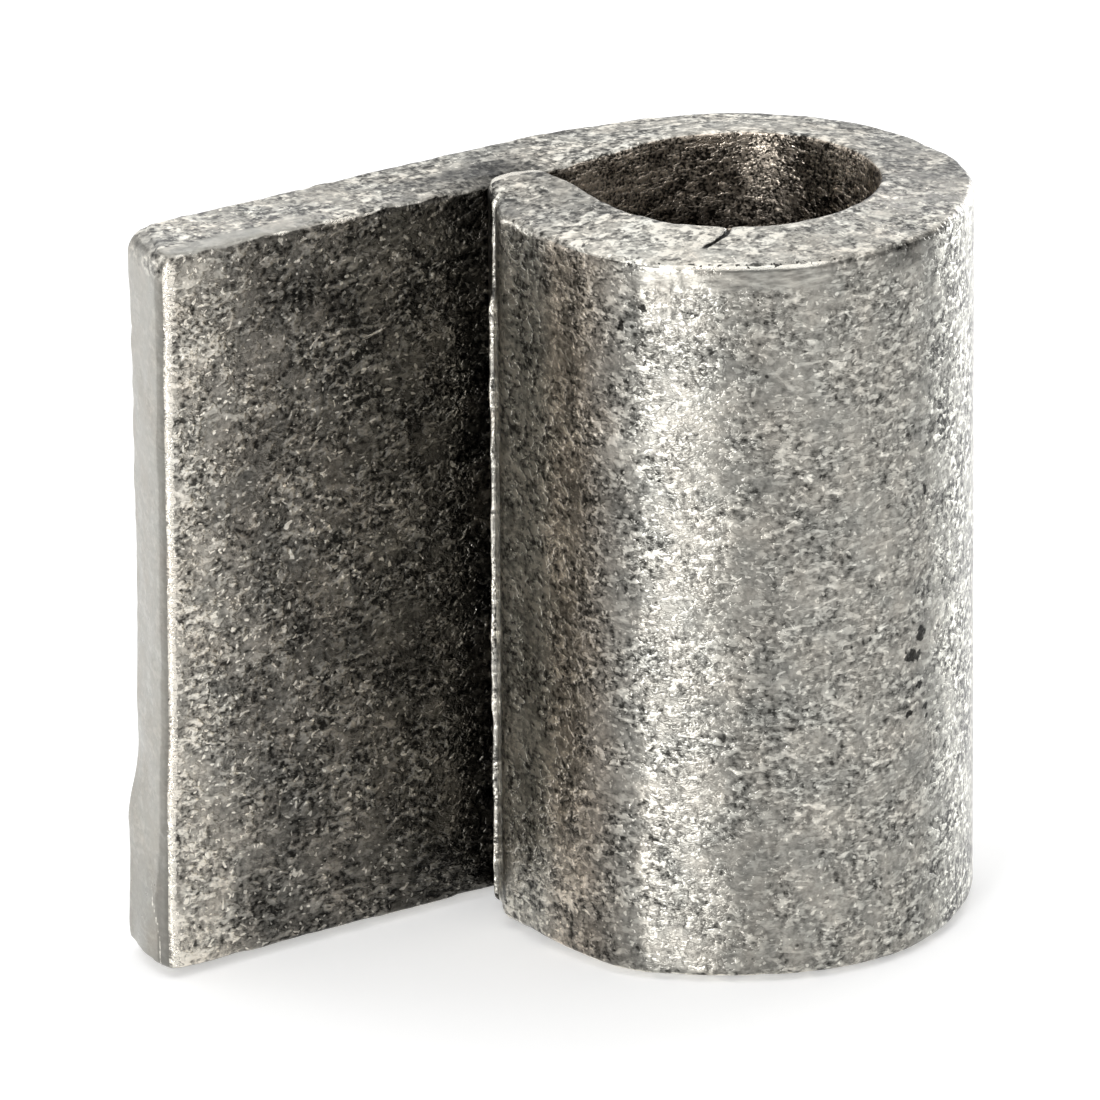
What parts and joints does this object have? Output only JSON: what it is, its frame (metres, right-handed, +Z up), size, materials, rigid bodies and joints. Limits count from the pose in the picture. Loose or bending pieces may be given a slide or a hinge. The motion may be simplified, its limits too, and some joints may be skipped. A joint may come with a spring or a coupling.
{
  "type": "weld-on rolled-eye hinge leaf",
  "caption": "Flat steel bar rolled at one end into an open eye for a hinge pin, with a plain flat leaf that is welded to a door, gate or frame.",
  "frame": {"origin": "on the axis of the pin bore, at the middle of the bar's width", "axes": "+Z runs up the pin bore's axis; the flat leaf runs towards -X from the eye; +Y points out of the leaf's back, the face that is welded on"},
  "size_m": [0.05, 0.029, 0.0458],
  "materials": {
    "raw_steel": "bare hot-rolled mild steel, sheared, rolled and tumbled, uncoated"
  },
  "bodies": {
    "root": {"hinge_leaf": "raw_steel"}
  },
  "joints": []
}
